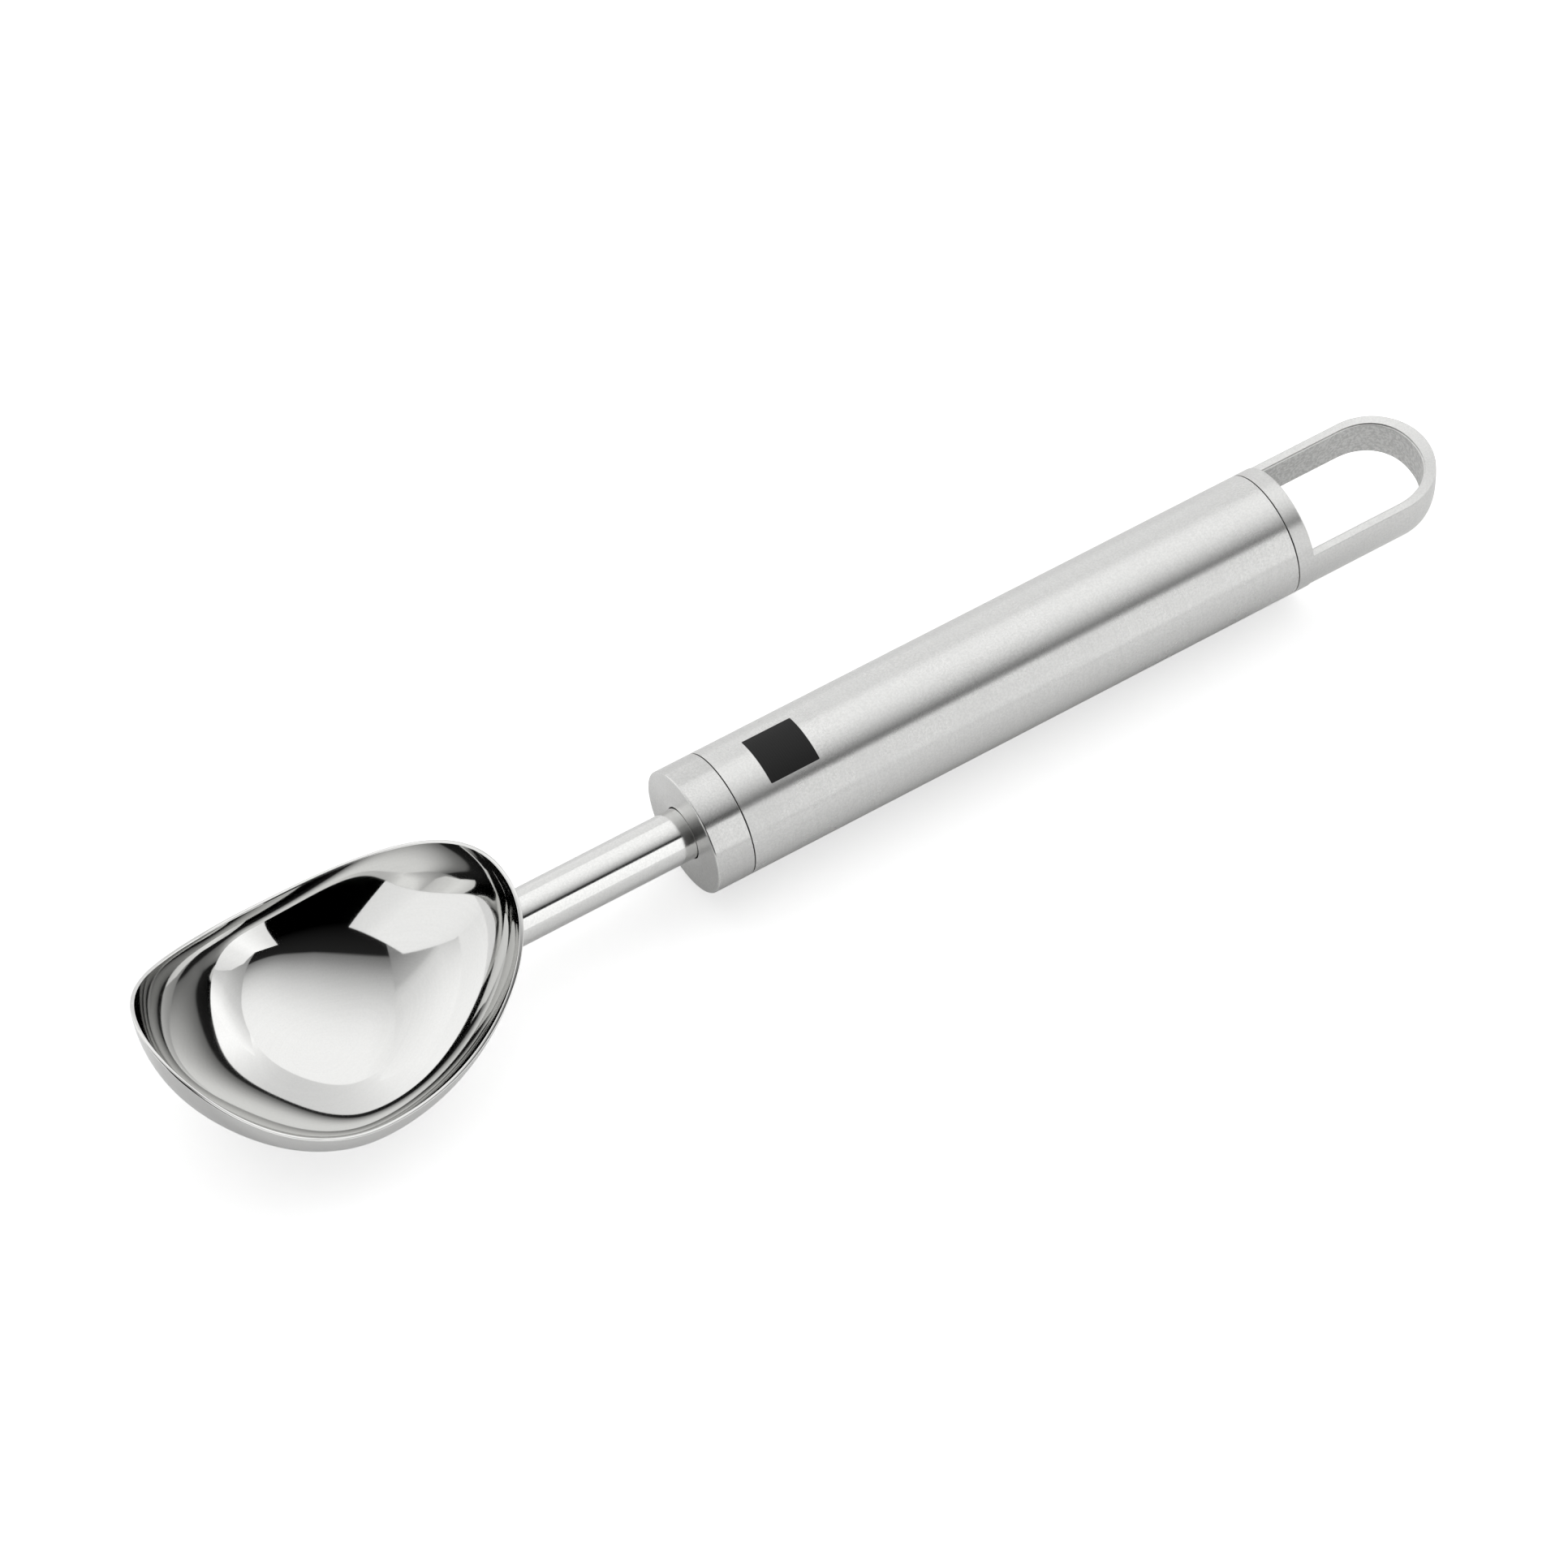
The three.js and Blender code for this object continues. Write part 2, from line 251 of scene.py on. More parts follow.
# A shader group with named inputs and outputs
def newGroup(name, inputs, outputs):
    tree = bpy.data.node_groups.new(name, "ShaderNodeTree")
    for label, kind, value in inputs:
        made = tree.interface.new_socket(label, in_out="INPUT", socket_type=kind)
        if value is not None:
            made.default_value = value
    for label, kind in outputs:
        tree.interface.new_socket(label, in_out="OUTPUT", socket_type=kind)
    return tree, tree.nodes.new("NodeGroupInput").outputs, tree.nodes.new("NodeGroupOutput")


def useGroup(tree, group, values):
    made = tree.nodes.new("ShaderNodeGroup")
    made.node_tree = group
    setInputs(tree, made, values)
    return made.outputs


# Fine lines left by a belt that ran round the axis: noise that is quick along the profile and slow round it
brushed = dict(roundScale=90.0, broadScale=0.13, fineShare=0.7, low=0.32, high=0.68)


def brushedLinesGroup():
    tree, given, out = newGroup(
        "brushedLines",
        [("Along", "NodeSocketFloat", 0.0), ("Place", "NodeSocketVector", None),
         ("Fineness", "NodeSocketFloat", 8.0), ("Depth", "NodeSocketFloat", 0.0000004)],
        [("Tone", "NodeSocketFloat"), ("Normal", "NodeSocketVector")])
    split = splitNode(tree, given["Place"])
    quick = mathNode(tree, "MULTIPLY", given["Along"], given["Fineness"])
    aside = mathNode(tree, "MULTIPLY", split[1], brushed["roundScale"])
    up = mathNode(tree, "MULTIPLY", split[2], brushed["roundScale"])
    line = addNode(tree, "ShaderNodeCombineXYZ", {0: quick, 1: aside, 2: up}).outputs[0]
    fine = noiseNode(tree, line, scale=1.0, detail=5.0, rough=0.7)
    broad = noiseNode(tree, line, brushed["broadScale"], detail=2.0, rough=0.5)
    both = mixNode(tree, brushed["fineShare"], broad, fine)
    tree.links.new(rangeNode(tree, both, brushed["low"], brushed["high"]), out.inputs["Tone"])
    bump = addNode(tree, "ShaderNodeBump", {"Strength": 1.0, "Distance": given["Depth"], "Height": both})
    tree.links.new(bump.outputs[0], out.inputs["Normal"])
    return tree


# Soft patches of handling and polish: two sizes of cloud noise
patches = dict(smallScale=5.3, largeShare=0.65, low=0.35, high=0.65)


def softPatchesGroup():
    tree, given, out = newGroup(
        "softPatches", [("Place", "NodeSocketVector", None), ("Size", "NodeSocketFloat", 60.0)],
        [("Mask", "NodeSocketFloat")])
    smallSize = mathNode(tree, "MULTIPLY", given["Size"], patches["smallScale"])
    large = noiseNode(tree, given["Place"], given["Size"], detail=3.0, rough=0.5)
    small = noiseNode(tree, given["Place"], smallSize, detail=4.0, rough=0.6)
    both = mixNode(tree, patches["largeShare"], small, large)
    tree.links.new(rangeNode(tree, both, patches["low"], patches["high"]), out.inputs["Mask"])
    return tree


# Even speckle of a worked surface: small noise, the same in every direction
speckle = dict(low=0.3, high=0.7)


def fineGrainGroup():
    tree, given, out = newGroup(
        "fineGrain", [("Place", "NodeSocketVector", None), ("Size", "NodeSocketFloat", 2600.0)],
        [("Mask", "NodeSocketFloat")])
    grain = noiseNode(tree, given["Place"], given["Size"], detail=2.0, rough=0.6)
    tree.links.new(rangeNode(tree, grain, speckle["low"], speckle["high"]), out.inputs["Mask"])
    return tree


brushedLines = brushedLinesGroup()
softPatches = softPatchesGroup()
fineGrain = fineGrainGroup()


def newMaterial(name):
    material = bpy.data.materials.new(name)
    material.use_nodes = True
    tree = material.node_tree
    tree.nodes.clear()
    out = tree.nodes.new("ShaderNodeOutputMaterial")
    place = addNode(tree, "ShaderNodeTexCoord").outputs["Object"]
    return material, tree, out, place


steelWarmth = 0.985  # blue against red and green


# A grey from one value, a little warm where it is steel
def greyNode(tree, value, warmth=1.0):
    blue = mathNode(tree, "MULTIPLY", value, warmth)
    return addNode(tree, "ShaderNodeCombineColor", {0: value, 1: value, 2: blue}).outputs[0]


# Tone, roughness and normal of worked steel: lines across the profile's run, soft patches and a fine speckle
def steelSurface(tree, place, look):
    run = addNode(tree, "ShaderNodeUVMap", uv_map="run").outputs[0]
    lines = useGroup(tree, brushedLines, {"Along": splitNode(tree, run)[0], "Place": place,
                                          "Fineness": look["fineness"], "Depth": look["depth"]})
    patch = useGroup(tree, softPatches, {"Place": place, "Size": look["patchSize"]})["Mask"]
    grain = useGroup(tree, fineGrain, {"Place": place, "Size": look["grain"]})["Mask"]
    tone = spreadNode(tree, lines["Tone"], look["tone"], look["spread"])
    tone = mathNode(tree, "MULTIPLY", tone, spreadNode(tree, grain, 1.0, look["grainSpread"]))
    rough = spreadNode(tree, patch, look["rough"], look["roughSpread"])
    return tone, rough, lines["Normal"]


# Mirror-polished steel
def polishedSteel(name, look):
    material, tree, out, place = newMaterial(name)
    tone, rough, normal = steelSurface(tree, place, look)
    shader = addNode(tree, "ShaderNodeBsdfPrincipled", {
        "Base Color": greyNode(tree, tone, steelWarmth), "Metallic": 1.0, "Roughness": rough,
        "Normal": normal})
    tree.links.new(shader.outputs[0], out.inputs[0])
    return material


# Satin steel brushed round the axis: the sheen spreads along the axis and stays narrow round it. The piece's
# own finish, and on the collar's face a painted lightening, changes the tone, the roughness and the metal
# where it applies.
def satinSteel(name, look, finishAndPaintedLight):
    material, tree, out, place = newMaterial(name)
    tone, rough, normal = steelSurface(tree, place, look)
    tone, rough, metal = finishAndPaintedLight(tree, place, tone, rough)
    tangent = addNode(tree, "ShaderNodeTangent", direction_type="UV_MAP", uv_map="run").outputs[0]
    shader = addNode(tree, "ShaderNodeBsdfPrincipled", {
        "Base Color": greyNode(tree, tone, steelWarmth), "Metallic": metal, "Roughness": rough,
        "Normal": normal, "Anisotropic": look["stretch"], "Tangent": tangent})
    tree.links.new(shader.outputs[0], out.inputs[0])
    return material


# Bowl: sizes from the collar's face and the axis, with one set of values for each half of the plan. The rows
# of each wall run from a first rise near its floor to the top, then by the rim's close steps.
bowl = dict(setback=62.0, halfWidth=21.5, rimLow=1.3, depth=11.2, rimWidth=0.6, floorShift=1.8,
            hollowShift=0.46, floorThickness=2.45, rimCrown=0.12, crownPower=3, blend=0.4,
            columns=320, outerRows=64, rimRows=11, innerRows=130,
            outerFirst=0.012, innerFirst=0.006, wallTop=0.985, rimSteps=(0.992, 0.998, 1.0),
            front=dict(length=28.3, planPower=2.0, rise=16.1, risePower=2.2),
            back=dict(length=31.5, planPower=2.15, rise=12.6, risePower=2.0))
bowlX = -bowl["setback"]

# Each wall's floor with its radii along and across. Then, at equal steps round the plan from the back to the
# front, the wall's turn up from the floor, in degrees, and how far its upper part is let out.
outsideWall = dict(inset=0.0, floorX=bowlX - bowl["floorShift"], floorZ=-bowl["depth"],
                   radiusAlong=28.0, radiusAcross=38.4,
                   turns=(88.5, 79.4, 86.5, 84.0, 87.5), shoulder=(0.17, 0.42, 0.41, -0.18, -0.19))
hollowWall = dict(inset=bowl["rimWidth"], floorX=bowlX + bowl["hollowShift"],
                  floorZ=bowl["floorThickness"] - bowl["depth"], radiusAlong=27.1, radiusAcross=40.6,
                  turns=(87.6, 70.1, 83.3, 84.8, 89.5), shoulder=(0.11, 0.07, 0.18, -0.03, 0.2))


# Smooth even wave round the plan through values at equal steps from the back to the front: a cosine series
def roundPlan(values, turn):
    steps = len(values) - 1
    j = np.arange(steps + 1)
    share = np.where(j % steps == 0, 0.5, 1.0)
    part = np.cos(math.pi * np.outer(j, j) / steps) @ (share * values)
    return np.cos(np.multiply.outer(turn, j)) @ (share * part) * 2 / steps


# One half's rim: a superellipse plan, and a height that climbs with a power of the distance along
def bowlRim(half, turn, inset):
    along = signedPower(np.cos(turn), 2 / half["planPower"])
    across = signedPower(np.sin(turn), 2 / half["planPower"])
    rise = bowl["rimLow"] + half["rise"] * np.abs(along) ** half["risePower"]
    return np.stack([bowlX + (half["length"] - inset) * along, (bowl["halfWidth"] - inset) * across, rise])


# A wall from its floor to the rim. The two halves' rims are mixed by a smooth step of cos(turn). With w for
# the wall's turn and R for the rise, the plan is scaled by sin(wR)/sin(w), and the height by u(1-(1-u)(s+hu))
# with u = (1-cos(wR))/(1-cos(w)), the shoulder h, and the sag s that gives the floor its two radii.
def bowlSurface(turn, rise, wall):
    mix = smootherStep((np.cos(turn) / bowl["blend"] + 1) / 2)
    front = bowlRim(bowl["front"], turn, wall["inset"])
    rimX, rimY, rimZ = front + (bowlRim(bowl["back"], turn, wall["inset"]) - front) * mix
    reach = rimX - wall["floorX"]
    height = rimZ - wall["floorZ"]
    w = np.radians(roundPlan(wall["turns"], turn))
    out = np.sin(w * rise) / np.sin(w)
    arc = (1 - np.cos(w * rise)) / (1 - np.cos(w))
    floorRise = reach ** 2 / wall["radiusAlong"] + rimY ** 2 / wall["radiusAcross"]
    sag = 1 - floorRise / (height * (1 + np.cos(w)))
    up = arc * (1 - (1 - arc) * (sag + roundPlan(wall["shoulder"], turn) * arc))
    return np.stack([wall["floorX"] + reach * out, rimY * out, wall["floorZ"] + height * up], -1)


def wallRises(first, rows):
    return np.concatenate([np.linspace(first, bowl["wallTop"], rows), bowl["rimSteps"]])[:, None]


# The wall's outside from its floor to the rim, the rim's low crown, and the inside back to its floor
def buildBowl(material):
    turn = fullTurn(bowl["columns"])
    outer = bowlSurface(turn, wallRises(bowl["outerFirst"], bowl["outerRows"]), outsideWall)
    inner = bowlSurface(turn, wallRises(bowl["innerFirst"], bowl["innerRows"])[::-1], hollowWall)
    across = np.linspace(-1, 1, bowl["rimRows"] + 2)[1:-1, None, None]
    rim = (outer[-1:] * (1 - across) + inner[:1] * (1 + across)) / 2
    rim[..., 2] += bowl["rimCrown"] * (1 - np.abs(across[..., 0]) ** bowl["crownPower"])
    poles = np.array([[wall["floorX"], 0, wall["floorZ"]] for wall in (outsideWall, hollowWall)])
    made = shell(np.concatenate([outer, rim, inner]), poles=poles)
    return makePiece("bowlSkin", [made], "scoop_bowl", material)


# Neck: plain rod from the bowl's back to the shoulder inside the collar, with a small weld fillet at the bowl
neck = dict(fillet=0.9, sink=0.4, filletRows=9, rodRows=40, columns=128, sealLip=0.4, shoulder=0.8,
            tangEnd=30.45, lead=0.3, shoulderEdge=0.2, stepEdge=0.1, tangEdge=0.3, tipRadius=0.5,
            meetRise=0.75, meetSteps=12)
pocketEnd = neck["sealLip"] + handle["seal"] + 2 * handle["play"]
socketFloor = pocketEnd + neck["shoulder"]
neckShoulder = socketFloor - handle["play"]


# Place along the axis where a line at radius r and angle a meets the bowl's outside, by Newton steps on
# the wall's two parameters
def bowlMeets(radius, a):
    y = radius * np.sin(a)
    z = -radius * np.cos(a)
    turn = y / bowl["halfWidth"]
    rise = np.full(y.shape, neck["meetRise"])
    h = 1e-4
    for step in range(neck["meetSteps"]):
        p = bowlSurface(turn, rise, outsideWall)
        t = (bowlSurface(turn + h, rise, outsideWall) - bowlSurface(turn - h, rise, outsideWall)) / (2 * h)
        r = (bowlSurface(turn, rise + h, outsideWall) - bowlSurface(turn, rise - h, outsideWall)) / (2 * h)
        ey = y - p[..., 1]
        ez = z - p[..., 2]
        det = t[..., 1] * r[..., 2] - t[..., 2] * r[..., 1]
        turn = turn + (ey * r[..., 2] - ez * r[..., 1]) / det
        rise = rise + (t[..., 1] * ez - t[..., 2] * ey) / det
    return bowlSurface(turn, rise, outsideWall)[..., 0]


# Rings of the rod: a quarter-round fillet that starts on the bowl's wall, then equal rings up to the
# shoulder, the step down and the tang
def buildNeck(material):
    a = fullTurn(neck["columns"])
    b = np.linspace(0, math.pi / 2, neck["filletRows"])[:, None]
    radius = handle["neckRadius"] + neck["fillet"] * (1 - np.sin(b))
    radius = np.concatenate([radius[:1], radius])
    off = np.concatenate([[[-neck["sink"]]], neck["fillet"] * (1 - np.cos(b))])
    startX = bowlMeets(radius, a) + off
    fillet = turnedRings(startX, radius, a)
    leadX = neckShoulder - neck["lead"]
    share = np.linspace(0, 1, neck["rodRows"])[1:, None]
    rod = turnedRings(startX[-1:] + (leadX - startX[-1:]) * share, handle["neckRadius"], a)
    tail = roundedProfile([
        [leadX, handle["neckRadius"], 0], [neckShoulder, handle["neckRadius"], neck["shoulderEdge"]],
        [neckShoulder, handle["tangRadius"], neck["stepEdge"]],
        [neck["tangEnd"], handle["tangRadius"], neck["tangEdge"]],
        [neck["tangEnd"], neck["tipRadius"], 0]])[1:]
    rings = np.concatenate([fillet, rod, turnedRings(tail[:, :1], tail[:, 1:], a)])
    poles = np.array([[fillet[0, :, 0].mean(), 0, 0], [neck["tangEnd"], 0, 0]])
    return makePiece("neckSkin", [shell(rings, poles=poles)], "neck_rod", material)


# Groove for a seal on a spigot, as profile corners
def sealGroove(sealX):
    edge = handle["fineEdge"]
    low = sealX - handle["play"]
    high = sealX + handle["seal"] + handle["play"]
    floor = tubeBore - handle["seal"] - 2 * handle["fit"]
    return [[low, spigotRadius, edge], [low, floor, edge], [high, floor, edge], [high, spigotRadius, edge]]


# Front collar: turned body with a rounded front edge, the neck's socket and the spigot inside the tube
collar = dict(edge=0.3, rearEdge=0.05, mouthEdge=0.08, spigot=8.0, columns=192)


def buildCollar(material):
    edge = handle["fineEdge"]
    socket = handle["neckRadius"] + handle["fit"]
    pocket = handle["neckRadius"] + handle["seal"] + 2 * handle["fit"]
    rear = handle["collarLength"] + handle["lip"]
    end = tubeStart + collar["spigot"]
    profile = roundedProfile([
        [socketFloor, tangClear, edge], [socketFloor, socket, edge],
        [pocketEnd, socket, edge], [pocketEnd, pocket, edge],
        [neck["sealLip"], pocket, edge], [neck["sealLip"], socket, edge], [0, socket, collar["mouthEdge"]],
        [0, handle["radius"], collar["edge"]], [rear, handle["radius"], collar["rearEdge"]],
        [rear, spigotRadius, edge], *sealGroove(tubeStart + handle["sealSetback"]),
        [end, spigotRadius, handle["spigotEdge"]], [end, tangClear, handle["boreEdge"]]], closed=True)
    made = turned(profile, collar["columns"], closed=True)
    return makePiece("collarSkin", [made], "front_collar", material)


# Handle tube: plain tube with fine rounded end edges
tube = dict(edge=0.05, columns=256)


def buildTube(material):
    start = tubeStart - handle["lip"]
    end = tubeEnd + handle["lip"]
    profile = roundedProfile([
        [start, tubeBore, handle["boreEdge"]], [start, handle["radius"], tube["edge"]],
        [end, handle["radius"], tube["edge"]], [end, tubeBore, handle["boreEdge"]]], closed=True)
    made = turned(profile, tube["columns"], closed=True)
    return makePiece("tubeSkin", [made], "handle_tube", material)


# Rear cap with its spigot, and the flat U of the hanging loop that grows out of it
cap = dict(edge=0.25, frontEdge=0.05, spigot=9.0, holeFloor=2.5, columns=192)
loop = dict(length=27.1, thickness=7.0, endLength=10.0, endPower=2.0, endThickness=2.25, strap=2.1,
            slotLength=8.65, slotPower=2.2, edge=0.12, ledgeWidth=0.26, ledgeDepth=0.24, ledgeEdge=0.04,
            root=1.0, sink=0.12, sinkMargin=0.05, flatEdge=0.06, legFirst=(0, 0.04), legFrom=0.08,
            arcRows=120, legRows=24, wallColumns=14, edgeColumns=6)


# Section of the strap: heights of the outer wall and how far its rounded edges step in, then heights of the
# slot's wall and how far its ledges step out
def strapSection():
    top = loop["thickness"] / 2
    flat = top - loop["edge"]
    turnUp = np.linspace(0, math.pi / 2, loop["edgeColumns"])
    edgeZ = flat + loop["edge"] * np.sin(turnUp)
    edgeIn = loop["edge"] * (1 - np.cos(turnUp))
    wallZ = np.linspace(-flat, flat, loop["wallColumns"])[1:-1]
    outerZ = np.concatenate([-edgeZ[::-1], wallZ, edgeZ])
    outerIn = np.concatenate([edgeIn[::-1], 0 * wallZ, edgeIn])
    ledge = top - loop["ledgeDepth"]
    width = loop["ledgeWidth"]
    bit = loop["ledgeEdge"]
    ledgeZ = np.array([top, top, top - bit, ledge + bit, ledge, ledge, ledge, ledge - bit, ledge - 3 * bit])
    ledgeOut = width - np.array([-bit, 0, 0, 0, 0, bit, width - bit, width, width])
    slotZ = np.concatenate([ledgeZ, -ledgeZ[::-1]])
    slotOut = np.concatenate([ledgeOut, ledgeOut[::-1]])
    return outerZ, outerIn, slotZ, slotOut


# Outline of the U at turn t: a straight leg, then a half superellipse whose x goes with cos and y with sin
def loopOutline(legX, arcStart, arcLength, power, t, setback):
    arcX = arcStart + (arcLength - setback) * signedPower(np.cos(t), 2 / power)
    return np.where(np.isnan(legX), arcX, legX), signedPower(np.sin(t), 2 / power)


# The strap's section carried along one leg, the arc and the other leg. Its outer wall lies on the handle's
# cylinder and is sunk a little inside the cap. The mask marks the slot's wall.
def loopStrap():
    outerZ, outerIn, slotZ, slotOut = strapSection()
    rootX = capFace - loop["root"]
    endX = capFace + loop["length"]
    arcStart = endX - loop["endLength"]
    slotStart = endX - loop["endThickness"] - loop["slotLength"]
    share = np.concatenate([loop["legFirst"], np.linspace(loop["legFrom"], 1, loop["legRows"])[:-1]])
    arc = np.linspace(math.pi / 2, -math.pi / 2, loop["arcRows"])
    legTurn = np.full(len(share), math.pi / 2)
    t = np.concatenate([legTurn, arc, -legTurn])[:, None]

    # Places of the rows on the two legs, with none on the arc
    def legPlaces(stop):
        leg = rootX + (stop - rootX) * share
        return np.concatenate([leg, np.full(len(arc), np.nan), leg[::-1]])[:, None]

    outerLeg = legPlaces(arcStart)
    sunk = np.where(outerLeg < capFace - cap["edge"] - loop["sinkMargin"], loop["sink"], 0.0)
    outX, outY = loopOutline(outerLeg, arcStart, loop["endLength"], loop["endPower"], t, outerIn)
    outY = outY * (np.sqrt(handle["radius"] ** 2 - outerZ ** 2) - outerIn - sunk)
    slotLeg = legPlaces(slotStart)
    inX, inY = loopOutline(slotLeg, slotStart, loop["slotLength"], loop["slotPower"], t, -slotOut)
    inY = inY * (handle["radius"] - loop["strap"] + slotOut)
    outer = np.stack(np.broadcast_arrays(outX, outY, outerZ), -1)
    inner = np.stack(np.broadcast_arrays(inX, inY, slotZ), -1)
    between = np.array([loop["flatEdge"], 0.5, 1 - loop["flatEdge"]])[None, :, None]
    topEdge = outer[:, -1:] + (inner[:, :1] - outer[:, -1:]) * between
    lowEdge = inner[:, -1:] + (outer[:, :1] - inner[:, -1:]) * between
    rings = np.concatenate([outer, topEdge, inner, lowEdge], 1)
    poles = np.stack([rings[0].mean(0), rings[-1].mean(0)])
    slotWall = np.zeros(rings.shape[:2])
    wallFrom = outer.shape[1] + topEdge.shape[1] + len(slotZ) // 2 - 1
    slotWall[:, wallFrom:wallFrom + 2] = 1.0
    return shell(rings, poles=poles), np.concatenate([slotWall.ravel(), np.zeros(len(poles))])


def buildCap(material):
    hole = capFace - cap["holeFloor"]
    start = tubeEnd - cap["spigot"]
    front = capStart - handle["lip"]
    profile = roundedProfile([
        [hole, 0, 0], [hole, tangClear, handle["boreEdge"]], [start, tangClear, handle["boreEdge"]],
        [start, spigotRadius, handle["spigotEdge"]],
        *sealGroove(tubeEnd - handle["sealSetback"] - handle["seal"]),
        [front, spigotRadius, handle["fineEdge"]], [front, handle["radius"], cap["frontEdge"]],
        [capFace, handle["radius"], cap["edge"]], [capFace, 0, 0]])
    body = turned(profile, cap["columns"])
    strap, slotWall = loopStrap()
    masks = [np.zeros(len(body[0])), slotWall]
    return makePiece("capSkin", [body, strap], "end_cap", material, masks=masks)


# Plain dark field etched on the tube's top: a soft-cornered square with fine scan lines
etch = dict(middle=16.68, halfLength=4.22, halfWidth=4.35, aside=0.25, corner=0.2, soft=0.04,
            tone=0.006, lineDark=0.8, lineLight=1.3, rough=0.75, lines=2600.0)


# The field is where the distance past a smaller square, sqrt(ex^2 + ey^2), stays within the corner's radius
def etchedField(tree, place, tone, rough):
    split = splitNode(tree, place)
    middleX = float(toWorld(np.array([etch["middle"], 0.0, handle["radius"]]))[0])
    axisZ = float(toWorld(np.array([etch["middle"], 0.0, 0.0]))[2])

    # Square of the distance past the smaller square, along or round the tube
    def pastSquare(distance, half):
        inside = (half - etch["corner"]) * mm
        past = mathNode(tree, "SUBTRACT", mathNode(tree, "ABSOLUTE", distance), inside)
        past = mathNode(tree, "MAXIMUM", past, 0.0)
        return mathNode(tree, "MULTIPLY", past, past)

    angle = mathNode(tree, "ARCTAN2", split[1], mathNode(tree, "SUBTRACT", split[2], axisZ))
    arc = mathNode(tree, "ADD", mathNode(tree, "MULTIPLY", angle, handle["radius"] * mm), etch["aside"] * mm)
    alongPast = pastSquare(mathNode(tree, "SUBTRACT", split[0], middleX), etch["halfLength"])
    roundPast = pastSquare(arc, etch["halfWidth"])
    far = mathNode(tree, "SQRT", mathNode(tree, "ADD", alongPast, roundPast))
    edge = etch["corner"] * mm
    soft = etch["soft"] * mm
    field = rangeNode(tree, far, edge - soft, edge + soft, 1.0, 0.0)
    scan = mathNode(tree, "SINE", mathNode(tree, "MULTIPLY", split[0], etch["lines"] * 2 * math.pi))
    dark = rangeNode(tree, scan, -1.0, 1.0, etch["tone"] * etch["lineDark"], etch["tone"] * etch["lineLight"],
                     "LINEAR")
    metal = mathNode(tree, "SUBTRACT", 1.0, field)
    return mixNode(tree, field, tone, dark), mixNode(tree, field, rough, etch["rough"]), metal


# The slot's wall keeps its rougher, mottled surface
slotLook = dict(tone=0.59, spread=0.08, rough=0.45, grain=2000.0, maskLow=0.4, maskHigh=0.6)


def slotWallFinish(tree, place, tone, rough):
    mask = addNode(tree, "ShaderNodeAttribute", attribute_name="wallMask").outputs["Fac"]
    wall = rangeNode(tree, mask, slotLook["maskLow"], slotLook["maskHigh"])
    grain = useGroup(tree, fineGrain, {"Place": place, "Size": slotLook["grain"]})["Mask"]
    mottled = spreadNode(tree, grain, slotLook["tone"], slotLook["spread"], "SMOOTHSTEP")
    return mixNode(tree, wall, tone, mottled), mixNode(tree, wall, rough, slotLook["rough"]), 1.0


# The collar's turned face scatters more than its brushed side, and its tone is painted lighter by a set
# factor: painted light in place of a brighter reflection
faceLook = dict(depth=0.3, rough=0.28, paintedBrightening=1.12)


def collarFace(tree, place, tone, rough):
    front = float(toWorld(np.zeros(3))[0])
    depth = faceLook["depth"] * mm
    face = rangeNode(tree, splitNode(tree, place)[0], front + depth / 2, front + depth, 1.0, 0.0)
    # Painted light: the face's tone is multiplied up so that the face reads brighter than its reflection
    # makes it
    paintedBrighter = mathNode(tree, "MULTIPLY", tone, faceLook["paintedBrightening"])
    return mixNode(tree, face, tone, paintedBrighter), mixNode(tree, face, rough, faceLook["rough"]), 1.0


bowlLook = dict(tone=0.70, spread=0.01, rough=0.045, roughSpread=0.01, fineness=6.0, depth=0.00000002,
                patchSize=40.0, grain=3000.0, grainSpread=0.012)
neckLook = dict(tone=0.73, spread=0.01, rough=0.115, roughSpread=0.015, fineness=8.0, depth=0.00000005,
                patchSize=80.0, grain=3000.0, grainSpread=0.035)
tubeLook = dict(tone=0.68, spread=0.02, rough=0.28, roughSpread=0.01, fineness=9.0, depth=0.0000001,
                stretch=0.9, patchSize=70.0, grain=3000.0, grainSpread=0.055)
collarLook = dict(tone=0.62, spread=0.02, rough=0.21, roughSpread=0.012, fineness=8.0, depth=0.0000002,
                  stretch=0.9, patchSize=160.0, grain=3000.0, grainSpread=0.055)
capLook = dict(tone=0.67, spread=0.015, rough=0.33, roughSpread=0.01, fineness=8.0, depth=0.0000002,
               stretch=0.85, patchSize=140.0, grain=3000.0, grainSpread=0.05)

buildBowl(polishedSteel("bowlPolish", bowlLook))
buildNeck(polishedSteel("neckPolish", neckLook))
buildCollar(satinSteel("collarSatin", collarLook, collarFace))
buildTube(satinSteel("tubeSatin", tubeLook, etchedField))
buildCap(satinSteel("capSatin", capLook, slotWallFinish))

# Fasteners and seals inside keep their frame shapes and take procedural finishes
fastenerLook = dict(tone=0.5, spread=0.06, rough=0.41, roughSpread=0.05, grain=900.0, patchSize=220.0)
sealLook = dict(tone=0.02, spread=0.008, rough=0.68, roughSpread=0.06, grain=2200.0, patchSize=300.0,
                bump=0.00002)


# Tone, roughness and grain of a plain finish: small noise over the tone, soft patches over the roughness
def plainSurface(tree, place, look):
    grain = noiseNode(tree, place, look["grain"], detail=4.0, rough=0.6)
    mask = rangeNode(tree, grain, speckle["low"], speckle["high"])
    patch = useGroup(tree, softPatches, {"Place": place, "Size": look["patchSize"]})["Mask"]
    tone = spreadNode(tree, mask, look["tone"], look["spread"])
    rough = spreadNode(tree, patch, look["rough"], look["roughSpread"], "SMOOTHSTEP")
    return tone, rough, grain


